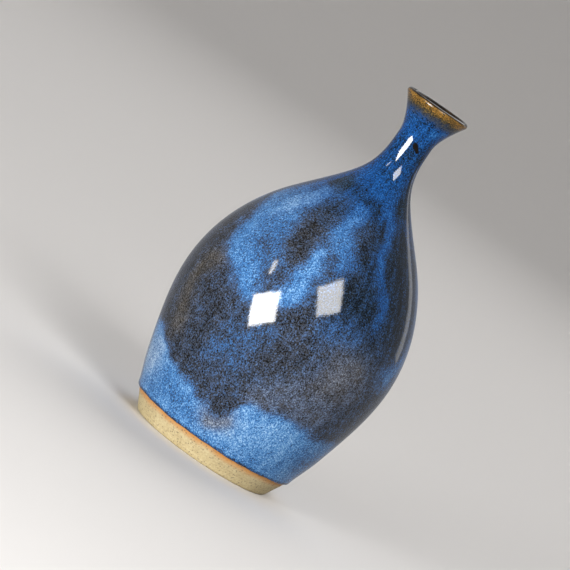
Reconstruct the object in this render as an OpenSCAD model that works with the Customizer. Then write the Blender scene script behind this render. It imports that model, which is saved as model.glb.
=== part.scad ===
// Ceramic bud vase: a wheel-thrown stoneware bottle with a fired-on glaze.
// It stands on z = 0 with its turning axis on +Z. All sizes are in millimetres.
//
// The vase is one thrown clay body and three coats of glaze that are fused to it:
// the outside coat, the thin band that wraps the lip, and the liner inside.
// Neighbouring layers share the same outline, so they meet face to face.

/* [Overall] */
// Height from the table to the top of the lip
height = 135; // [120:1:150]

/* [Foot] */
// Radius of the foot where it meets the table
foot_r = 25.2; // [23:0.1:26]
// Rounding of the foot's outer bottom edge
foot_round = 1.1; // [0.4:0.1:1.5]
// Width of the flat ring that the vase stands on
foot_ring = 5; // [3:0.1:8]
// Depth of the hollow turned into the underside
foot_hollow = 1.4; // [0.6:0.1:2]
// Height of the bare clay band, up to where the glaze starts
bare_band = 6.8; // [5:0.1:8]
// Radius of the clay at the top of the bare band
band_r = 28.4; // [27.5:0.1:29]

/* [Body] */
// Radius of the clay at the widest part of the belly
belly_r = 38.4; // [36:0.1:40]
// Height of the widest part, as a share of the whole height
belly_share = 0.365; // [0.34:0.005:0.4]
// Thickness of the clay wall at the belly
belly_wall = 3.2; // [2.5:0.1:4]
// Height of the clay floor inside
floor_z = 6.2; // [5:0.1:8]

/* [Neck] */
// Radius of the clay at the neck's waist, its narrowest part
neck_r = 5.65; // [5.4:0.05:6.5]
// Height of the waist, as a share of the whole height
neck_share = 0.9; // [0.88:0.005:0.91]
// Radius of the finished throat, glaze included
throat_r = 3.7; // [3:0.05:3.8]
// Length of the straight throat
throat_length = 8; // [6:0.5:9]

/* [Lip] */
// Radius of the mouth at its outermost edge, glaze included
lip_r = 11.35; // [10:0.05:13]
// Rounding of the clay lip, which is half its thickness
lip_round = 0.8; // [0.6:0.05:1]
// Lean of the wall at the lip, in millimetres of radius for each one of height
lip_lean = 0.66; // [0.4:0.01:0.8]

/* [Glaze] */
// Thickness of the outside coat
coat = 0.5; // [0.3:0.05:0.8]
// Extra thickness of the roll where the outside coat ends above the foot
coat_roll = 0.15; // [0:0.05:0.3]
// Thickness of the coat on the lip, where it runs thin
lip_coat = 0.2; // [0.15:0.05:0.3]
// Height of the thin band on the outside of the lip
lip_band = 4; // [3:0.5:5]
// Thickness of the liner inside
liner = 0.35; // [0.2:0.05:0.5]
// Thickness of the liner where it has pooled on the floor
liner_pool = 0.9; // [0.5:0.1:1.5]

/* [Hidden] */
$fn = 180;

clay_colour = [0.80, 0.71, 0.50];
glaze_colour = [0.16, 0.29, 0.52];
lip_colour = [0.50, 0.31, 0.10];
liner_colour = [0.10, 0.16, 0.28];

span_steps = 8;    // straight pieces in each span of a wall
arc_steps = 8;     // straight pieces in each quarter turn of a rounded edge

// The top of the clay lip is a half circle. The wall's two faces run into its two ends.
lip_centre = [lip_r - lip_coat - lip_round, height - lip_coat - lip_round];
lip_end = lip_round * [1, -lip_lean] / norm([1, lip_lean]);

// A wall is a row of stations joined by smooth cubic spans. Each station is
// [height, radius, lean], with the lean as at the lip.
lip_outside = [lip_centre[1] + lip_end[1], lip_centre[0] + lip_end[0], lip_lean];
lip_inside = [lip_centre[1] - lip_end[1], lip_centre[0] - lip_end[0], lip_lean];

// Stations of the outside, from the foot up
band_top = [bare_band, band_r, 0.33];
hip = [0.14 * height, 0.85 * belly_r, 0.275];
belly = [belly_share * height, belly_r, 0];
shoulder = [0.606 * height, 0.726 * belly_r, -0.68];
neck_root = [0.776 * height, 1.62 * neck_r, -0.63];
waist = [neck_share * height, neck_r, 0];
flare = [lip_outside[0] - lip_band, lip_outside[1] - 2.5, 0.56];

// Stations of the hollow, from the floor up
bore_r = throat_r + liner;                              // the clay's own throat
floor_edge = [0.11 * height, belly_r - belly_wall - 7.6, 0.48];
inner_belly = [belly[0], belly_r - belly_wall, 0];
inner_shoulder = [0.598 * height, 0.66 * belly_r, -0.72];
inner_root = [0.76 * height, bore_r + 3.4, -0.5];
throat_low = [waist[0] - 4.5, bore_r, 0];
throat_high = [throat_low[0] + throat_length, bore_r, 0];
mouth = [lip_inside[0] - 2.6, lip_inside[1] - 1.65, 0.62];

band_lean = (band_r - foot_r) / bare_band;              // how far the bare band flares
floor_flat_r = floor_edge[1] - 9.5;                     // the floor is flat inside this radius

// ---- Outlines of the half section ----

// A point of the cubic span from station a to station b, t from 0 to 1, as another station
function between(a, b, t) =
    let (
        h = b[0] - a[0],
        r = (2*t^3 - 3*t^2 + 1) * a[1] + (t^3 - 2*t^2 + t) * h * a[2]
          + (3*t^2 - 2*t^3) * b[1] + (t^3 - t^2) * h * b[2],
        lean = 6 * (t^2 - t) * (a[1] - b[1]) / h
             + (3*t^2 - 4*t + 1) * a[2] + (3*t^2 - 2*t) * b[2]
    )
    [a[0] + t * h, r, lean];

// Every station along a wall, the first and the last included
function wall(stations) =
    let (last = len(stations) - 1)
    concat(
        [for (i = [0 : last - 1], k = [0 : span_steps - 1])
            between(stations[i], stations[i + 1], k / span_steps)],
        [stations[last]]
    );

// A station as an [x, y] point of the section, moved out of the wall along its normal
function face(s, out = 0) = [s[1], s[0]] + out * [1, -s[2]] / norm([1, s[2]]);

function faces(stations, out = 0) = [for (s = stations) face(s, out)];

function reversed(list) = [for (i = [len(list) - 1 : -1 : 0]) list[i]];

// A list without its first point, which the outline before it has already drawn
function rest(list) = [for (i = [1 : len(list) - 1]) list[i]];

function arc(centre, r, from, to, steps) =
    [for (k = [0 : steps])
        let (a = from + (to - from) * k / steps)
        centre + r * [cos(a), sin(a)]];

// The half circle over the lip, from its outside to its inside, for the clay or for its coat
function lip_cap(out = 0) =
    arc(lip_centre, lip_round + out, -atan(lip_lean), 180 - atan(lip_lean), 2 * arc_steps);

// The floor inside, from its flat part up to the wall, raised by the liner
function floor_curve(up = 0) =
    let (
        low = [floor_flat_r, floor_z + up],
        high = face(floor_edge, -min(up, liner)),
        corner = [high[0] - (high[1] - low[1]) * floor_edge[2], low[1]]
    )
    [for (k = [0 : arc_steps])
        let (t = k / arc_steps)
        (1 - t)^2 * low + 2 * t * (1 - t) * corner + t^2 * high];

function smooth(t) = let (u = min(max(t, 0), 1)) u * u * (3 - 2 * u);

// The outside coat is full on the body, rolls up at its lower edge and thins towards the lip
thin_from = lip_outside[0] - 3 * lip_band;
roll_z = bare_band + 0.8;                               // where the roll is thickest
roll_spread = 1.2;                                      // how far it fades either way
function coat_at(z) =
    coat
    + (lip_coat - coat) * smooth((z - thin_from) / (3 * lip_band))
    + coat_roll * exp(-pow((z - roll_z) / roll_spread, 2));

// The liner's free face in the mouth, which thins from the liner to the lip's coat
function mouth_coat(stations) =
    let (last = len(stations) - 1)
    [for (i = [0 : last]) face(stations[i], -(liner + (lip_coat - liner) * i / last))];

outer_wall = wall([band_top, hip, belly, shoulder, neck_root, waist, flare]);
lip_wall = wall([flare, lip_outside]);
hollow_wall = wall([floor_edge, inner_belly, inner_shoulder, inner_root, throat_low]);
mouth_wall = wall([throat_high, mouth]);
inner_lip_wall = wall([mouth, lip_inside]);

// ---- The pieces ----

// The thrown and trimmed stoneware: foot, belly, shoulder, neck and lip in one piece
module clay_body() {
    ring_r = foot_r - foot_round - foot_ring;
    color(clay_colour)
    rotate_extrude()
    polygon(concat(
        [[0, foot_hollow], [ring_r - 1.5 * foot_hollow, foot_hollow], [ring_r, 0]],
        arc([foot_r - foot_round, foot_round], foot_round, -90, -atan(band_lean), arc_steps),
        faces(outer_wall),
        rest(faces(lip_wall)),
        rest(lip_cap()),
        rest(reversed(faces(inner_lip_wall))),
        rest(reversed(faces(mouth_wall))),
        reversed(faces(hollow_wall)),
        rest(reversed(floor_curve())),
        [[0, floor_z]]
    ));
}

// The outside coat, from its rolled edge above the bare band up to the lip's band
module outer_glaze() {
    color(glaze_colour)
    rotate_extrude()
    polygon(concat(
        faces(outer_wall),
        reversed([for (s = rest(outer_wall)) face(s, coat_at(s[0]))]),
        [face(between(band_top, hip, 0.06), coat + coat_roll),
         face(between(band_top, hip, 0.02), 0.75 * coat)]
    ));
}

// The thin band over the lip, which runs a little way down both sides of it
module lip_glaze() {
    color(lip_colour)
    rotate_extrude()
    polygon(concat(
        [for (s = lip_wall) face(s, coat_at(s[0]))],
        rest(lip_cap(lip_coat)),
        rest(reversed(mouth_coat(inner_lip_wall))),
        faces(inner_lip_wall),
        rest(reversed(lip_cap())),
        rest(reversed(faces(lip_wall)))
    ));
}

// The liner that waterproofs the hollow, pooled on the floor
module inner_glaze() {
    color(liner_colour)
    rotate_extrude()
    polygon(concat(
        [[0, floor_z]],
        floor_curve(),
        rest(faces(hollow_wall)),
        faces(mouth_wall),
        reversed(faces(mouth_wall, -liner)),
        reversed(faces(hollow_wall, -liner)),
        rest(reversed(floor_curve(liner_pool))),
        [[0, floor_z + liner_pool]]
    ));
}

clay_body();
outer_glaze();
lip_glaze();
inner_glaze();
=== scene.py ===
"""A ceramic bud vase: one thrown clay body and three coats of glaze, dressed for the studio.

Sizes are in millimetres and are turned into metres as each mesh is made. The vase stands on
z = 0 with its turning axis on +Z, and its front is the side towards -Y.
"""
import math

import bmesh
import bpy
import numpy as np
from mathutils import Matrix, Vector, noise


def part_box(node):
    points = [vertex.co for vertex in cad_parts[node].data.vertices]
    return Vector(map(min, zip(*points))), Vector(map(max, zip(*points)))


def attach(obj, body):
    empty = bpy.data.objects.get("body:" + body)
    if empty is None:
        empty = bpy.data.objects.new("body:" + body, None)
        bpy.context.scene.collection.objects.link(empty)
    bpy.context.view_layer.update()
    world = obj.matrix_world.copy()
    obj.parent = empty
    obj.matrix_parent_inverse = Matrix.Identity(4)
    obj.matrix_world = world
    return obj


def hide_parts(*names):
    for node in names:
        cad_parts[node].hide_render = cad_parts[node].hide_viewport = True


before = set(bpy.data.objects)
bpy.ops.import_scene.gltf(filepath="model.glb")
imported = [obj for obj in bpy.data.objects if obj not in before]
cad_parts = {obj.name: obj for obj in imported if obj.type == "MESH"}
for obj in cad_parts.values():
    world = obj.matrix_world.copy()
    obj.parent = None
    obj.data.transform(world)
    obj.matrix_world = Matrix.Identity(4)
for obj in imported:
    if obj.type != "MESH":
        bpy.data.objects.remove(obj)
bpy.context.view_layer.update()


# ---- The clay body ----
# Buff stoneware, thrown on the wheel as one wall and trimmed upside down when leather hard.
# Only the foot and the underside stay bare. The wall's outline is a row of stations, each
# (height, radius, lean), joined by smooth cubic spans. The lean is radius gained for height.
MM = 0.001
TURNS = 384                     # faces once round the vase

clay_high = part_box("clay_body")[1] / MM
glaze_low, glaze_high = (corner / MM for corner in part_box("outer_glaze"))
lip_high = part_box("lip_glaze")[1] / MM
liner_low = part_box("inner_glaze")[0] / MM

height = lip_high.z
belly_r = clay_high.x
bare_band = glaze_low.z
floor_z = liner_low.z
lip_coat = lip_high.z - clay_high.z
lip_round = 0.8
lip_lean = 0.66
foot_r = 25.2
foot_round = 1.1
foot_ring = 5.0
foot_hollow = 1.4
band_r = 28.4
belly_wall = 3.2
neck_r = 5.65
throat_r = 3.7
throat_length = 8.0
liner = 0.35
floor_bend = 9.5                # how far inside its edge the floor starts to turn up

lip_centre = (lip_high.x - lip_coat - lip_round, height - lip_coat - lip_round)
lip_reach = lip_round / math.hypot(1, lip_lean)
lip_outside = (lip_centre[1] - lip_lean * lip_reach, lip_centre[0] + lip_reach, lip_lean)
lip_inside = (lip_centre[1] + lip_lean * lip_reach, lip_centre[0] - lip_reach, lip_lean)

belly_z = 0.365 * height
waist_z = 0.9 * height
flare = (lip_outside[0] - 4, lip_outside[1] - 2.5, 0.56)
outside = [
    (bare_band, band_r, 0.33),
    (0.14 * height, 0.85 * belly_r, 0.275),
    (belly_z, belly_r, 0),
    (0.606 * height, 0.726 * belly_r, -0.68),
    (0.776 * height, 1.62 * neck_r, -0.63),
    (waist_z, neck_r, 0),
    flare,
]
bore_r = throat_r + liner
hollow = [
    (0.11 * height, belly_r - belly_wall - 7.6, 0.48),
    (belly_z, belly_r - belly_wall, 0),
    (0.598 * height, 0.66 * belly_r, -0.72),
    (0.76 * height, bore_r + 3.4, -0.5),
    (waist_z - 4.5, bore_r, 0),
]
mouth = [
    (waist_z - 4.5 + throat_length, bore_r, 0),
    (lip_inside[0] - 2.6, lip_inside[1] - 1.65, 0.62),
]


def between(a, b, t):
    """The station a share t of the way up the span from station a to station b."""
    rise = b[0] - a[0]
    r = ((2 * t**3 - 3 * t**2 + 1) * a[1] + (t**3 - 2 * t**2 + t) * rise * a[2]
         + (3 * t**2 - 2 * t**3) * b[1] + (t**3 - t**2) * rise * b[2])
    lean = (6 * (t**2 - t) * (a[1] - b[1]) / rise
            + (3 * t**2 - 4 * t + 1) * a[2] + (3 * t**2 - 2 * t) * b[2])
    return a[0] + t * rise, r, lean


def wall(stations, step):
    """Stations every step or so up a wall, the first and the last included."""
    found = []
    for a, b in zip(stations, stations[1:]):
        count = max(2, round((b[0] - a[0]) / step))
        found += [between(a, b, k / count) for k in range(count)]
    return found + [stations[-1]]


def face(station, out=0.0):
    """A station as a (radius, height) point, moved out of the wall along its normal."""
    z, r, lean = station
    reach = out / math.hypot(1, lean)
    return r + reach, z - lean * reach


def arc(centre, radius, start, end, steps):
    """Points round part of a circle, from one angle in degrees to another."""
    angles = [math.radians(start + (end - start) * k / steps) for k in range(steps + 1)]
    return [(centre[0] + radius * math.cos(a), centre[1] + radius * math.sin(a)) for a in angles]


def lip_cap(out=0.0, steps=24):
    """The half circle over the lip, from its outside to its inside."""
    start = -math.degrees(math.atan(lip_lean))
    return arc(lip_centre, lip_round + out, start, start + 180, steps)


def floor_curve(up=0.0, steps=16):
    """The floor inside, from its flat part up to the wall, raised by the liner."""
    edge = hollow[0]
    low = Vector((edge[1] - floor_bend, floor_z + up))
    high = Vector(face(edge, -min(up, liner)))
    bend = Vector((high.x - (high.y - low.y) * edge[2], low.y))
    ts = [k / steps for k in range(steps + 1)]
    return [tuple((1 - t) ** 2 * low + 2 * t * (1 - t) * bend + t**2 * high) for t in ts]


def throw(name, outline, ring=False):
    """Spins a half outline of (radius, height) points once round the wheel's axis."""
    form = bmesh.new()
    verts = [form.verts.new((r * MM, 0, z * MM)) for r, z in outline]
    ends = list(zip(verts, verts[1:])) + ([(verts[-1], verts[0])] if ring else [])
    edges = [form.edges.new(pair) for pair in ends]
    bmesh.ops.spin(form, geom=verts + edges, axis=(0, 0, 1), cent=(0, 0, 0),
                   angle=math.tau, steps=TURNS, use_merge=True)
    bmesh.ops.remove_doubles(form, verts=form.verts, dist=0.0001 * MM)
    bmesh.ops.recalc_face_normals(form, faces=form.faces)
    mesh = bpy.data.meshes.new(name)
    form.to_mesh(mesh)
    form.free()
    mesh.shade_smooth()
    piece = bpy.data.objects.new(name, mesh)
    bpy.context.scene.collection.objects.link(piece)
    return piece


class Wheel:
    """A thrown piece's points by angle round the wheel, radius and height, in millimetres."""

    def __init__(self, piece):
        self.mesh = piece.data
        found = np.empty(len(self.mesh.vertices) * 3)
        self.mesh.vertices.foreach_get("co", found)
        x, y, self.z = found.reshape(-1, 3).T / MM
        self.r = np.hypot(x, y)
        self.angle = np.arctan2(x, -y)

    def reshape(self):
        """Puts the points back where angle, radius and height now say, and shades them."""
        moved = np.stack([self.r * np.sin(self.angle), -self.r * np.cos(self.angle), self.z], 1)
        self.mesh.vertices.foreach_set("co", (moved * MM).ravel())
        self.mesh.update()
        self.mesh.set_sharp_from_angle(angle=math.radians(50))

    def cloud(self, size, seed):
        """Soft noise from about -1 to 1 over the surface, with features of one size in mm."""
        x, y = self.r * np.sin(self.angle), -self.r * np.cos(self.angle)
        return np.array([noise.noise(Vector(p) / size + Vector((seed, 0, -seed)))
                         for p in zip(x, y, self.z)]) * 1.6

    def keep(self, name, values):
        """Keeps one number for each point, for the material to read."""
        layer = self.mesh.attributes.new(name, "FLOAT", "POINT")
        layer.data.foreach_set("value", values.astype(np.float32))


def smooth(t):
    """A soft step: 0 up to t = 0, 1 from t = 1, and an easy curve between them."""
    t = np.clip(t, 0, 1)
    return t * t * (3 - 2 * t)


def glaze_edge(angle):
    """How far the glaze's lower edge wanders from its level, for angles in radians."""
    return (0.16 * np.sin(angle + 0.6) + 0.11 * np.sin(3 * angle - 1.1)
            + 0.07 * np.sin(7 * angle + 2.0) + 0.05 * np.sin(16 * angle)
            + 0.03 * np.sin(37 * angle + 0.7))


ring_r = foot_r - foot_round - foot_ring
band_lean = (band_r - foot_r) / bare_band
foot_edge = arc((foot_r - foot_round, foot_round), foot_round, -90,
                -math.degrees(math.atan(band_lean)), 10)
bare_rings = 24
bare_wall = [(foot_edge[-1][0] + (band_r - foot_edge[-1][0]) * k / bare_rings,
              foot_edge[-1][1] + (bare_band - foot_edge[-1][1]) * k / bare_rings)
             for k in range(1, bare_rings)]
thrown_clay = throw(
    "thrown_clay",
    [(r, foot_hollow) for r in np.linspace(0, ring_r - 1.5 * foot_hollow, 24)]
    + [(ring_r - 1.3, foot_hollow - 0.25), (ring_r - 0.3, 0.3), (ring_r, 0.07), (ring_r + 0.4, 0)]
    + [(r, 0) for r in np.linspace(ring_r + 1, foot_r - foot_round - 0.4, 6)]
    + foot_edge + bare_wall
    + [face(s) for s in wall(outside, 2.5) + wall([flare, lip_outside], 1)[1:]]
    + lip_cap(steps=12)[1:]
    + [face(s) for s in wall([mouth[1], lip_inside], 1)][-2::-1]
    + [face(s) for s in wall(mouth, 1.5)][-2::-1]
    + [face(s) for s in wall(hollow, 5)][::-1]
    + floor_curve(steps=8)[-2::-1] + [(0, floor_z)],
)
wheel = Wheel(thrown_clay)
# The trimming tool leaves fine ridges round the bare band and a spiral underneath.
bare = smooth((bare_band + 0.5 - wheel.z) / 0.5) * (wheel.r > 3)
drag = 0.5 + 0.5 * np.sin(2.3 * wheel.z + 0.8 * np.sin(wheel.angle) + 1.7 * np.sin(0.9 * wheel.z))
wheel.r -= 0.035 * bare * drag * (wheel.z > 1.2) * (wheel.z < bare_band - 0.2)
spiral = np.sin(2.6 * wheel.r - wheel.angle)
under = (wheel.z < foot_hollow + 0.01) * (wheel.z > foot_hollow - 0.3) * (wheel.r < ring_r - 2)
wheel.z += 0.035 * under * spiral * smooth(wheel.r / 4)
wheel.reshape()
wheel.keep("below_glaze", bare_band + glaze_edge(wheel.angle) - wheel.z)


def feed(tree, socket, value):
    """Fills an input from another node's output, or with a number or a colour of its own."""
    if isinstance(value, bpy.types.NodeSocket):
        tree.links.new(value, socket)
    elif value is not None:
        socket.default_value = value


def node(tree, kind, *values, **settings):
    """Adds a shader node. Each value fills an input in turn: a number, a socket or None."""
    made = tree.nodes.new("ShaderNode" + kind)
    for name, setting in settings.items():
        setattr(made, name, setting)
    sockets = [socket for socket in made.inputs if socket.enabled]
    for socket, value in zip(sockets, values):
        feed(tree, socket, value)
    return next(socket for socket in made.outputs if socket.enabled)


def math_node(tree, operation, *values):
    """One step of arithmetic on numbers and sockets."""
    return node(tree, "Math", *values, operation=operation)


def add_up(tree, start, *terms):
    """start plus each (socket, factor) term."""
    for socket, factor in terms:
        start = math_node(tree, "MULTIPLY_ADD", socket, factor, start)
    return start


def step_up(tree, value, low, high, top=1.0):
    """0 below low and top above high, smooth between them. Low may be the larger."""
    if low > high:
        return math_node(tree, "SUBTRACT", top, step_up(tree, value, high, low, top))
    return node(tree, "MapRange", value, low, high, 0.0, top, interpolation_type="SMOOTHSTEP")


def grains(tree, place, per_metre, detail=2.0, roughness=0.5, curl=0.0):
    """Noise from about -1 to 1 with so many features to a metre."""
    fac = node(tree, "TexNoise", place, per_metre, detail, roughness, 2.0, curl)
    return math_node(tree, "MULTIPLY_ADD", fac, 4.0, -2.0)


def dots(tree, place, per_metre, size, soft=0.1):
    """1 on scattered round specks and 0 between them. The size is a share of their spacing."""
    spacing = node(tree, "TexVoronoi", place, per_metre)
    return step_up(tree, spacing, size + soft, size)


def shades(tree, value, stops):
    """A colour ramp from (place, red, green, blue) stops, places from 0 to 1."""
    made = tree.nodes.new("ShaderNodeValToRGB")
    tree.links.new(value, made.inputs[0])
    ramp = made.color_ramp
    while len(ramp.elements) < len(stops):
        ramp.elements.new(0.5)
    for element, (place, *colour) in zip(ramp.elements, stops):
        element.position = place
        element.color = (*colour, 1)
    return made.outputs[0]


def blend_colour(tree, share, under_colour, over_colour, how="MIX"):
    """The under colour with a share of the over colour laid on it."""
    made = tree.nodes.new("ShaderNodeMix")
    made.data_type = "RGBA"
    made.blend_type = how
    made.clamp_factor = True
    for number, value in ((0, share), (6, under_colour), (7, over_colour)):
        feed(tree, made.inputs[number], value)
    return made.outputs[2]


def new_finish(name, **constants):
    """A new material, its tree, its shader and its object coordinates."""
    finish = bpy.data.materials.new(name)
    finish.use_nodes = True
    tree = finish.node_tree
    shader = tree.nodes["Principled BSDF"]
    for socket, value in constants.items():
        shader.inputs[socket.replace("_", " ")].default_value = value
    place = tree.nodes.new("ShaderNodeTexCoord").outputs["Object"]
    return finish, tree, shader, place


def painted(tree, name):
    """The number that the mesh keeps under a name."""
    made = tree.nodes.new("ShaderNodeAttribute")
    made.attribute_name = name
    return made.outputs["Fac"]


def relief(tree, shader, depth):
    """Turns a height in metres into the shader's normal."""
    bump = tree.nodes.new("ShaderNodeBump")
    bump.inputs["Distance"].default_value = 1.0
    tree.links.new(depth, bump.inputs["Height"])
    tree.links.new(bump.outputs[0], shader.inputs["Normal"])


finish, tree, shader, place = new_finish("bare_stoneware", Roughness=0.8)
sand = grains(tree, place, 1400, 3.0, 0.65)
patches = grains(tree, place, 170, 2.0)
iron = dots(tree, place, 560, 0.09, 0.08)
grit = dots(tree, place, 850, 0.17, 0.13)
turning = node(tree, "VectorMath", place, (0.04, 0.04, 1.0), operation="MULTIPLY")
trimming = grains(tree, turning, 2600, 1.0)
below = painted(tree, "below_glaze")
tone = add_up(tree, 0.5, (sand, 0.32), (patches, 0.10), (trimming, 0.10))
colour = shades(tree, tone, [
    (0.0, 0.230, 0.178, 0.090), (0.5, 0.400, 0.322, 0.170), (1.0, 0.500, 0.430, 0.270)])
singed = add_up(tree, below, (patches, 0.35), (sand, 0.18))
flash = step_up(tree, singed, 2.5, 0.1)
colour = blend_colour(tree, math_node(tree, "MULTIPLY", flash, 0.9), colour,
                      (0.410, 0.170, 0.032, 1))
speck = add_up(tree, 0.0, (iron, 0.65), (grit, 0.60))
colour = blend_colour(tree, speck, colour, (0.100, 0.078, 0.045, 1))
tree.links.new(colour, shader.inputs["Base Color"])
depth = add_up(tree, 0.0, (sand, 0.000012), (trimming, 0.000010), (grit, -0.000015))
relief(tree, shader, depth)
thrown_clay.data.materials.append(finish)
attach(thrown_clay, "root")
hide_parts("clay_body")


# ---- The outside coat of glaze ----
# A dark iron glaze under a milky blue one, dipped and poured so that the two overlap in
# streaks and tide lines. It stops in a thick rolled edge above the foot and thins to the lip.
coat = glaze_high.x - clay_high.x
roll_height = 0.8               # from the coat's lower end to the roll's thickest place
roll_swell = 0.15
roll_spread = 1.2
thinning = 12                   # the last stretch below the lip, where the coat thins
SUNK = 0.05                     # every coat's hidden face lies this far inside the clay


def coat_at(z):
    """The coat's thickness at a height."""
    t = float(smooth((z - (lip_outside[0] - thinning)) / thinning))
    swell = roll_swell * math.exp(-((z - bare_band - roll_height) / roll_spread) ** 2)
    return coat + (lip_coat - coat) * t + swell


def glaze_face(station):
    """The coat's free face, turned under where it ends above the foot."""
    u = min((station[0] - bare_band) / roll_height, 1)
    return face(station, coat_at(station[0]) * math.sqrt(1 - (1 - u) ** 2))


roll = [between(outside[0], outside[1], roll_height * u / (outside[1][0] - bare_band))
        for u in (0.0, 0.02, 0.06, 0.14, 0.25, 0.4, 0.6, 0.8)]
body = [s for s in wall(outside[:5], 0.75) if s[0] > bare_band + roll_height]
neck = wall(outside[4:], 0.4)[1:]
outer_coat = throw(
    "outer_coat",
    [face(s, -SUNK) for s in wall(outside, 5)]
    + [glaze_face(s) for s in (roll + body + neck)[::-1]],
    ring=True,
)
wheel = Wheel(outer_coat)
drift = glaze_edge(wheel.angle) * smooth((bare_band + 9 - wheel.z) / 8)
wheel.z += drift
wheel.r += outside[0][2] * drift
ripple = 0.5 + 0.3 * wheel.cloud(26, 3.0) + 0.2 * wheel.cloud(9, 8.0)
wheel.r -= 0.05 * ripple * smooth((wheel.z - bare_band - 2) / 5)

# The pour. Each dab is (blueness, greyness, half width in mm, path of (degrees, height)).
DEGREE = 0.62                   # millimetres round the belly for each degree
dabs = [
    (0.37, 0.10, 12, [(-50, 78), (-20, 68), (4, 80)]),
    (0.33, 0.05, 9, [(-28, 36), (-6, 42)]),
    (0.05, 0.35, 7, [(-66, 34), (-64, 66), (-80, 84)]),
    (0.22, 0.85, 5, [(-54, 34), (-54, 58)]),
    (0.14, 0.35, 6.5, [(4, 41), (8, 55)]),
    (0.10, 0.30, 6, [(-38, 30), (-34, 46)]),
    (0.42, 0.70, 9, [(32, 39), (42, 50)]),
    (0.44, 0.55, 5.5, [(9, 31), (20, 36), (38, 33)]),
    (0.38, 0.15, 5, [(18, 59), (30, 60)]),
    (0.66, 0.00, 9, [(-66, 88), (-48, 80), (-39, 74)]),
    (0.48, 0.05, 6, [(-30, 64), (-36, 70)]),
    (0.77, 0.00, 4.0, [(-74, 84), (-50, 67), (-41, 62), (-34, 58), (-25, 54)]),
    (0.90, 0.10, 4.5, [(-51, 82), (-43, 91)]),
    (0.06, 0.35, 4.2, [(-24, 81), (-16, 73)]),
    (0.20, 0.20, 3, [(-18, 61), (-21, 64)]),
    (0.72, 0.00, 4.2, [(-8, 92), (-9, 87), (-1, 84), (3, 81)]),
    (0.62, 0.00, 3, [(16, 78), (7, 76)]),
    (0.92, 0.00, 2.8, [(-9, 75), (-10, 60)]),
    (0.12, 0.15, 4.5, [(14, 89), (17, 83)]),
    (0.04, 0.30, 5, [(21, 73), (30, 71)]),
    (0.60, 0.00, 3.2, [(21, 101), (31, 96), (32, 86), (37, 76), (40, 68)]),
    (0.00, 0.30, 6, [(52, 92), (54, 70)]),
    (0.30, 0.60, 3.0, [(-56, 96), (-38, 97)]),
    (0.30, 0.15, 2.6, [(-30, 98), (8, 98)]),
    (0.60, 0.00, 3.4, [(-75, 104), (-20, 105), (16, 105)]),
    (0.10, 0.50, 5, [(45, 104), (75, 106)]),
    (0.32, 0.10, 3, [(-10, 115), (45, 115)]),
    (0.54, 0.00, 3.2, [(-80, 123), (0, 124), (70, 123)]),
    (0.75, 0.00, 2.0, [(25, 125), (65, 126)]),
    (0.04, 0.20, 4, [(58, 116), (62, 108), (66, 100)]),
    # the far side
    (0.36, 0.10, 13, [(120, 82), (170, 74), (-140, 82)]),
    (0.10, 0.30, 10, [(95, 40), (112, 58), (104, 76)]),
    (0.75, 0.00, 5, [(70, 56), (84, 68), (88, 88)]),
    (0.55, 0.20, 9, [(150, 48), (140, 66)]),
    (0.85, 0.05, 4.5, [(128, 92), (150, 82), (170, 64), (178, 50)]),
    (0.05, 0.35, 8, [(-170, 74), (-160, 60)]),
    (0.78, 0.00, 5, [(-138, 90), (-128, 72), (-134, 54)]),
    (0.35, 0.50, 8, [(-150, 40), (-120, 38)]),
    (0.06, 0.30, 7, [(-108, 80), (-104, 56)]),
    (0.66, 0.00, 4, [(-96, 92), (-90, 78)]),
    (0.05, 0.30, 6, [(130, 74), (124, 86)]),
    (0.62, 0.00, 4, [(90, 104), (150, 102), (-160, 105), (-110, 103)]),
    (0.30, 0.10, 3, [(110, 112), (-170, 113)]),
    (0.60, 0.00, 4, [(80, 124), (170, 123), (-110, 124)]),
]
# Below the tide line, as (degrees, height), the two glazes lie over each other, pale and thick.
POOLED_BLUE = 0.86
tide = np.array([(-180, 22), (-150, 29), (-120, 32), (-95, 25), (-75, 29), (-60, 27), (-42, 24),
                 (-27, 21), (-19, 18), (-4, 17.5), (3, 22), (8, 28), (20, 29), (40, 27), (60, 29),
                 (85, 24), (110, 31), (135, 19), (160, 27), (180, 22)])
shallows = [                    # uneven places in that band
    (1.05, 0.00, 8, [(14, 18), (28, 22)]),
    (0.66, 0.00, 4.0, [(-41, 17), (-31, 13), (-20, 11)]),
    (0.72, 0.60, 4.6, [(-9, 14), (2, 18)]),
    (1.14, 0.22, 6, [(-74, 16), (-58, 20)]),
    (0.62, 0.00, 7, [(60, 18), (84, 20)]),
    (0.62, 0.00, 5, [(100, 12), (124, 14)]),
    (1.00, 0.00, 6, [(-128, 22), (-108, 18)]),
    (1.00, 0.00, 6, [(158, 14), (176, 16)]),
]


def lay(blue, grey, dabs):
    """Lays dabs over the coat, each along its path and fading at its sides."""
    for new_blue, new_grey, half_width, path in dabs:
        start = path[0][0]
        x = ((degrees - start + 180) % 360 - 180) * DEGREE
        line = [(((a - start + 180) % 360 - 180) * DEGREE, z) for a, z in path]
        nearest = np.full(len(x), np.inf)
        for (x0, z0), (x1, z1) in zip(line, line[1:]):
            along = np.clip(((x - x0) * (x1 - x0) + (level - z0) * (z1 - z0))
                            / ((x1 - x0) ** 2 + (z1 - z0) ** 2), 0, 1)
            nearest = np.minimum(nearest, np.hypot(x - x0 - along * (x1 - x0),
                                                   level - z0 - along * (z1 - z0)))
        share = np.exp(-(nearest / half_width) ** 2.6)
        blue = blue + share * (new_blue - blue)
        grey = grey + share * (new_grey - grey)
    return blue, grey


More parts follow.
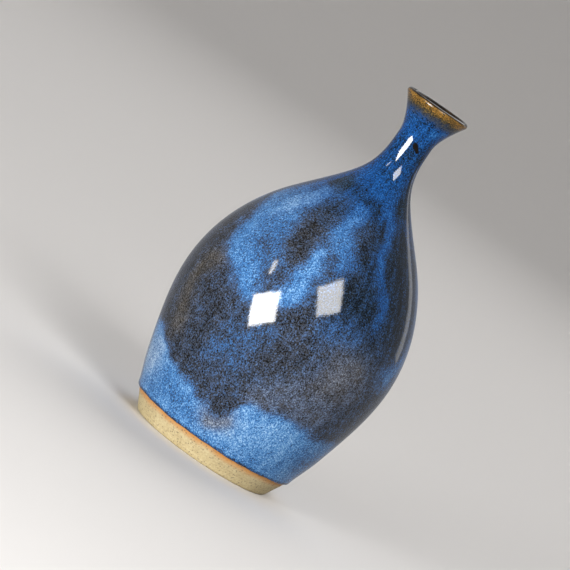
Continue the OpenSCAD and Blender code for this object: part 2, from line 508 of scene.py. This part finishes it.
wander, wander_up = wheel.cloud(14, 1.0), wheel.cloud(14, 5.0)
fray, fray_up = wheel.cloud(4.5, 2.0), wheel.cloud(4.5, 6.0)
degrees = np.degrees(wheel.angle) + (2.4 * wander + 1.0 * fray) / DEGREE
level = wheel.z + 2.6 * wander_up + 1.1 * fray_up
blue = (0.15 + 0.34 * smooth((wheel.z - 88) / 10) - 0.06 * smooth((wheel.z - 108) / 8)
        + 0.06 * wander)
grey = 0.25 - 0.20 * smooth((wheel.z - 88) / 10)
blue, grey = lay(blue, grey, dabs)
tide_top = np.interp((degrees + 180) % 360 - 180, tide[:, 0], tide[:, 1])
covered = smooth((tide_top - level) / 5 + 0.5)
low_blue, low_grey = lay(np.full(len(blue), POOLED_BLUE), np.zeros(len(blue)), shallows)
blue += covered * (low_blue - blue)
grey += covered * (low_grey - grey)
# Just above the rolled lower edge the blueness drops to a thin dark line: partly the thick dark glaze
# of the roll, partly painted shade under it.
lower_edge = bare_band + glaze_edge(wheel.angle) + 0.5
blue -= 0.55 * smooth((lower_edge + 0.9 - wheel.z) / 0.9)


def thinness(z):
    """How thin the glaze has run near the lip: 0 on the body, and 1 where it breaks to amber."""
    return np.interp(z, [126.5, 128.5, 130, 131.2, 132.2, 133.4], [0, 0.13, 0.36, 0.54, 0.74, 0.92])


deep = smooth((level - 82) / 16)
deep = np.maximum(deep, 0.9 * smooth((level - 48) / 24) * np.exp(-((degrees - 45) / 36) ** 4))
deep = np.maximum(deep, 0.7 * smooth((level - 58) / 26) * np.exp(-((degrees + 165) / 30) ** 4))
wheel.keep("blue", blue)
wheel.keep("grey", grey)
wheel.keep("deep", deep)
wheel.keep("thin", thinness(wheel.z))

# One drop of iron has bled through on the neck: a round head and a tail down to the right.
TEAR_ANGLE, TEAR_Z = 17, 119.8
TEAR_LENGTH = 2.3
NECK_DEGREE = 0.11              # millimetres round the neck for each degree
around = (np.degrees(wheel.angle) - TEAR_ANGLE) * NECK_DEGREE
past_head, over_head = around + 0.7, wheel.z - TEAR_Z - 0.6
along = np.clip((0.75 * past_head - 0.66 * over_head) / TEAR_LENGTH, 0, 1)
from_spine = np.hypot(past_head - 1.72 * along, over_head + 1.52 * along)
tear = np.where(np.abs(around) > 5, 9, from_spine / (1.0 - 0.5 * along))
wheel.keep("iron_tear", np.clip(1.5 - tear, 0, 1))
wheel.reshape()

# The speckled break: how the glazes look from their blueness, greyness, depth and thinness. Past the
# amber break the colour runs to near black, which inside the mouth is partly painted shade.
speckled = bpy.data.node_groups.new("speckled_break", "ShaderNodeTree")
for name, kind in (("Place", "Vector"), ("Blue", "Float"), ("Grey", "Float"), ("Deep", "Float"),
                   ("Thin and shade", "Float")):
    speckled.interface.new_socket(name, in_out="INPUT", socket_type="NodeSocket" + kind)
for name, kind in (("Color", "Color"), ("Height", "Float")):
    speckled.interface.new_socket(name, in_out="OUTPUT", socket_type="NodeSocket" + kind)
tree = speckled
place, blue_in, grey_in, deep_in, thin_in = tree.nodes.new("NodeGroupInput").outputs[:5]
drawn = node(tree, "VectorMath", place, (1.0, 1.0, 0.75), operation="MULTIPLY")
grain = grains(tree, drawn, 2450, 2.0, 0.6, 0.3)
clumps = grains(tree, place, 300, 3.0, 0.6)
rust = grains(tree, place, 520, 3.0, 0.65)
specks = dots(tree, drawn, 900, 0.08, 0.18)
pepper = dots(tree, place, 1450, 0.18, 0.20)
across = tree.nodes.new("ShaderNodeSeparateXYZ")
tree.links.new(place, across.inputs[0])
# The runs are noise drawn out downwards, wrapped on a cylinder so that they stay upright.
flat = node(tree, "VectorMath", place, (1, 1, 0), operation="MULTIPLY")
outward = node(tree, "VectorMath", flat, operation="NORMALIZE")
round_it = node(tree, "VectorMath", outward, (0.036, 0.036, 0), operation="MULTIPLY")
down = node(tree, "CombineXYZ", 0.0, 0.0, math_node(tree, "MULTIPLY", across.outputs[2], 0.16))
runs = grains(tree, node(tree, "VectorMath", round_it, down, operation="ADD"), 420, 3.0, 0.6)
value = add_up(tree, blue_in, (grain, 0.68), (clumps, 0.18), (specks, -0.24), (pepper, -0.18))
running = math_node(tree, "MULTIPLY_ADD", deep_in, 0.14, 0.12)
value = math_node(tree, "MULTIPLY_ADD", runs, running, value)
place_on_ramp = math_node(tree, "MULTIPLY_ADD", value, 0.5, 0.2)
glaze_colour = shades(tree, place_on_ramp, [
    (0.00, 0.006, 0.006, 0.007), (0.20, 0.016, 0.020, 0.027), (0.30, 0.030, 0.040, 0.063),
    (0.40, 0.026, 0.060, 0.136), (0.50, 0.023, 0.088, 0.232), (0.60, 0.040, 0.134, 0.312),
    (0.70, 0.078, 0.192, 0.378), (0.85, 0.165, 0.300, 0.480), (1.00, 0.280, 0.430, 0.590)])
ash = blend_colour(tree, 1.0, node(tree, "RGBToBW", glaze_colour), (1.16, 1.0, 0.76, 1),
                   "MULTIPLY")
rusting = math_node(tree, "MULTIPLY", rust, step_up(tree, value, 0.60, 0.15, 0.36))
glaze_colour = blend_colour(tree, math_node(tree, "ADD", grey_in, rusting), glaze_colour, ash)
depths = blend_colour(tree, 1.0, glaze_colour, (0.22, 0.47, 0.68, 1), "MULTIPLY")
glaze_colour = blend_colour(tree, deep_in, glaze_colour, depths)
unevenness = add_up(tree, 0.0, (rust, 0.15), (grain, 0.20), (runs, 0.05))
thin = math_node(tree, "MULTIPLY_ADD", unevenness, step_up(tree, thin_in, 0.0, 0.2), thin_in)
breaking = shades(tree, math_node(tree, "MULTIPLY", thin, 0.625), [
    (0.00, 0.010, 0.034, 0.110), (0.20, 0.024, 0.038, 0.072), (0.32, 0.028, 0.033, 0.042),
    (0.41, 0.050, 0.040, 0.020), (0.50, 0.095, 0.056, 0.016), (0.59, 0.210, 0.110, 0.022),
    (0.66, 0.070, 0.038, 0.010), (0.74, 0.012, 0.009, 0.006), (1.00, 0.006, 0.006, 0.008)])
mottle = math_node(tree, "MAXIMUM", math_node(tree, "MULTIPLY_ADD", grain, 0.80, 0.95), 0.15)
breaking = blend_colour(tree, 1.0, breaking, mottle, "MULTIPLY")
burnt = math_node(tree, "MULTIPLY", add_up(tree, 0.0, (specks, 0.8), (pepper, 0.7)),
                  step_up(tree, thin, 0.3, 0.7))
breaking = blend_colour(tree, burnt, breaking, (0.012, 0.009, 0.006, 1))
glaze_colour = blend_colour(tree, step_up(tree, thin, 0.12, 0.42), glaze_colour, breaking)
peel = grains(tree, place, 95, 2.0)
out = tree.nodes.new("NodeGroupOutput")
tree.links.new(glaze_colour, out.inputs["Color"])
skin = add_up(tree, 0.0, (peel, 0.000020), (clumps, 0.0000022), (grain, 0.0000022))
tree.links.new(skin, out.inputs["Height"])


def speckle(tree, place, blue, grey, deep, thin):
    """Places the speckled break in a material and returns its colour and its height."""
    made = tree.nodes.new("ShaderNodeGroup")
    made.node_tree = speckled
    for socket, value in zip(made.inputs, (place, blue, grey, deep, thin)):
        feed(tree, socket, value)
    return made.outputs


finish, tree, shader, place = new_finish("poured_blue_glaze", Roughness=0.05, IOR=1.5)
colour, height_out = speckle(tree, place, painted(tree, "blue"), painted(tree, "grey"),
                             painted(tree, "deep"), painted(tree, "thin"))
tear_edge = add_up(tree, painted(tree, "iron_tear"), (grains(tree, place, 900, 2.0), 0.12))
colour = blend_colour(tree, step_up(tree, tear_edge, 0.30, 0.75), colour, (0.006, 0.005, 0.004, 1))
tree.links.new(colour, shader.inputs["Base Color"])
relief(tree, shader, height_out)
outer_coat.data.materials.append(finish)
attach(outer_coat, "root")
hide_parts("outer_glaze")


# ---- The glaze on the lip ----
# The same two glazes, run so thin over the sharp rim that they break to amber brown and
# then to near black on top. It wraps a few millimetres down both sides of the lip.
def mouth_face(stations):
    """The liner's free face in the mouth, which thins to the lip's coat."""
    last = len(stations) - 1
    return [face(s, -(liner + (lip_coat - liner) * k / last)) for k, s in enumerate(stations)]


lip_wall = wall([flare, lip_outside], 0.4)
inner_lip_wall = wall([mouth[1], lip_inside], 0.4)
lip_band = throw(
    "lip_band",
    [face(s, coat_at(s[0])) for s in lip_wall]
    + lip_cap(lip_coat)[1:]
    + mouth_face(inner_lip_wall)[-2::-1]
    + [face(s, SUNK) for s in inner_lip_wall]
    + lip_cap(-SUNK, 8)[-2::-1]
    + [face(s, -SUNK) for s in lip_wall[-2::-1]],
    ring=True,
)
wheel = Wheel(lip_band)
on_top = smooth((wheel.z - lip_centre[1] - 0.2) / 0.5)
outer_r = np.interp(wheel.z, [s[0] for s in lip_wall], [s[1] for s in lip_wall])
# Inside the mouth the coat is pushed past its break to near black: partly the dark glaze there,
# partly painted shade of the hollow.
inside_mouth = (wheel.r < outer_r - 0.9) * (wheel.z < lip_centre[1] + 0.3)
thin = thinness(wheel.z) + 0.30 * on_top
thin = np.where(inside_mouth, 1.25, thin)
thin += 0.05 * wheel.cloud(5, 4.0)
wheel.keep("thin", thin)
sag = 0.5 + 0.5 * wheel.cloud(5, 9.0)
wheel.z -= 0.05 * np.clip(sag, 0, 1) * on_top
wheel.reshape()
finish, tree, shader, place = new_finish("broken_amber_glaze", Roughness=0.09, IOR=1.5)
colour, height_out = speckle(tree, place, 0.6, 0.05, 1.0, painted(tree, "thin"))
tree.links.new(colour, shader.inputs["Base Color"])
relief(tree, shader, height_out)
lip_band.data.materials.append(finish)
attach(lip_band, "root")
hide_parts("lip_glaze")


# ---- The liner ----
# The glaze poured in and swilled round to make the hollow watertight. It is nearly black
# blue in the throat, breaks to brown under the lip and has pooled thick on the floor.
liner_pool = 0.9                # how thick it lies on the floor
liner_coat = throw(
    "liner_coat",
    [(0, floor_z - SUNK)] + floor_curve(-SUNK, 8)
    + [face(s, SUNK) for s in wall(hollow, 5)][1:]
    + [face(s, SUNK) for s in wall(mouth, 1)]
    + [face(s, -liner) for s in wall(mouth, 0.4)][::-1]
    + [face(s, -liner) for s in wall(hollow, 2)][::-1]
    + floor_curve(liner_pool)[-2::-1] + [(r, floor_z + liner_pool) for r in (14, 10, 6, 3, 0)],
)
wheel = Wheel(liner_coat)
# Towards the lip the liner runs through brown to near black: partly the broken glaze, partly painted
# shade inside the mouth.
wheel.keep("thin", np.interp(wheel.z, [110, 124, 132], [0.0, 0.15, 1.2]))
wheel.keep("blue", np.interp(wheel.z, [6, 12, 40, 124], [0.75, 0.45, 0.25, 0.15])
           + 0.1 * wheel.cloud(12, 2.0))
wheel.reshape()
finish, tree, shader, place = new_finish("swilled_liner_glaze", Roughness=0.06, IOR=1.5)
colour, height_out = speckle(tree, place, painted(tree, "blue"), 0.1, 0.9, painted(tree, "thin"))
tree.links.new(colour, shader.inputs["Base Color"])
relief(tree, shader, height_out)
liner_coat.data.materials.append(finish)
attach(liner_coat, "root")
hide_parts("inner_glaze")


# ---- The studio ----
# A pale sweep of paper that curves up into a wall all round, and a low grey surround. Two
# square softboxes and a narrow strip stand in front, a tall strip stands behind on the right,
# and one large soft light hangs above and behind. The camera is rolled.
SWEEP_R = 1.7
SWEEP_CURVE = 0.9
SWEEP_TOP = 2.4
sweep = bmesh.new()
profile = [(0.0, 0.0), (0.2, 0.0), (0.6, 0.0), (1.2, 0.0)]
profile += arc((SWEEP_R, SWEEP_CURVE), SWEEP_CURVE, -90, 0, 16) + [(SWEEP_R + SWEEP_CURVE, SWEEP_TOP)]
verts = [sweep.verts.new((r, 0, z)) for r, z in profile]
edges = [sweep.edges.new(pair) for pair in zip(verts, verts[1:])]
bmesh.ops.spin(sweep, geom=verts + edges, axis=(0, 0, 1), cent=(0, 0, 0),
               angle=math.tau, steps=96, use_merge=True)
bmesh.ops.remove_doubles(sweep, verts=sweep.verts, dist=1e-6)
bmesh.ops.recalc_face_normals(sweep, faces=sweep.faces)
bmesh.ops.reverse_faces(sweep, faces=sweep.faces)
sweep_mesh = bpy.data.meshes.new("paper_sweep")
sweep.to_mesh(sweep_mesh)
sweep.free()
sweep_mesh.shade_smooth()
paper_sweep = bpy.data.objects.new("paper_sweep", sweep_mesh)
bpy.context.scene.collection.objects.link(paper_sweep)
paper_sweep.visible_glossy = False
paper_sweep.visible_shadow = False
finish = new_finish("sweep_paper", Base_Color=(0.72, 0.70, 0.68, 1), Roughness=0.9,
                    Specular_IOR_Level=0.2)[0]
sweep_mesh.materials.append(finish)

centre = Vector((0, 0, 0.5 * height * MM))
DISTANCE = 1.4
TILT = math.radians(5.55)       # how far the camera looks down
ROLL = math.radians(34.64)
LENS = 275.8                    # millimetres, for a sensor 36 mm wide
towards = Vector((0, -math.cos(TILT), math.sin(TILT)))
level_right = Vector((1, 0, 0))
level_up = Vector((0, math.sin(TILT), math.cos(TILT)))
right = math.cos(ROLL) * level_right + math.sin(ROLL) * level_up
up = -math.sin(ROLL) * level_right + math.cos(ROLL) * level_up


def facing(position, target, top):
    """A place and turn that look from position at target, with top kept upwards."""
    back = (position - target).normalized()
    side = top.cross(back).normalized()
    turn = Matrix((side, back.cross(side), back)).transposed().to_4x4()
    turn.translation = position
    return turn


camera = bpy.data.objects.new("camera", bpy.data.cameras.new("camera"))
bpy.context.scene.collection.objects.link(camera)
camera.data.lens = LENS
camera.data.sensor_width = 36
camera.data.clip_end = 12
aim = centre - 0.0111 * right - 0.0020 * up
camera.matrix_world = facing(centre + DISTANCE * towards, aim, up)
bpy.context.scene.camera = camera


def softbox(name, direction, distance, width, power, top, tall=None):
    """A light in a direction from the vase's middle, facing it: square, or as tall as given."""
    light = bpy.data.lights.new(name, "AREA")
    light.shape = "RECTANGLE" if tall else "SQUARE"
    light.size = width
    light.size_y = tall or width
    light.energy = power
    lamp = bpy.data.objects.new(name, light)
    bpy.context.scene.collection.objects.link(lamp)
    lamp.matrix_world = facing(centre + distance * direction.normalized(), centre, top)
    lamp.visible_camera = False


softbox("key_softbox", -0.406 * right + 0.213 * up + 0.889 * towards, 1.2, 0.48, 21.5, up)
softbox("fill_softbox", 0.51 * right + 0.19 * up + 0.83 * towards, 1.2, 0.46, 8.6, up)
softbox("strip_light", -0.351 * right + 0.677 * up + 0.646 * towards, 1.2, 0.05, 0.6, up, 0.22)
softbox("rim_strip", 0.70 * right - 0.71 * towards, 1.4, 0.22, 0.5, up, 0.9)
softbox("back_softbox", Vector((0.25, 0.75, 1.0)), 1.7, 1.3, 13, Vector((0, 1, 0)))

world = bpy.data.worlds.new("grey_surround")
bpy.context.scene.world = world
world.use_nodes = True
tree = world.node_tree
way = tree.nodes.new("ShaderNodeSeparateXYZ")
tree.links.new(tree.nodes.new("ShaderNodeTexCoord").outputs["Generated"], way.inputs[0])
behind = add_up(tree, way.outputs[1], (way.outputs[2], 0.2), (way.outputs[0], 0.15))
glow = shades(tree, step_up(tree, behind, -0.5, 1.0), [
    (0.0, 0.045, 0.047, 0.052), (1.0, 0.30, 0.30, 0.31)])
tree.links.new(glow, tree.nodes["Background"].inputs["Color"])

bpy.context.scene.view_settings.view_transform = "Standard"
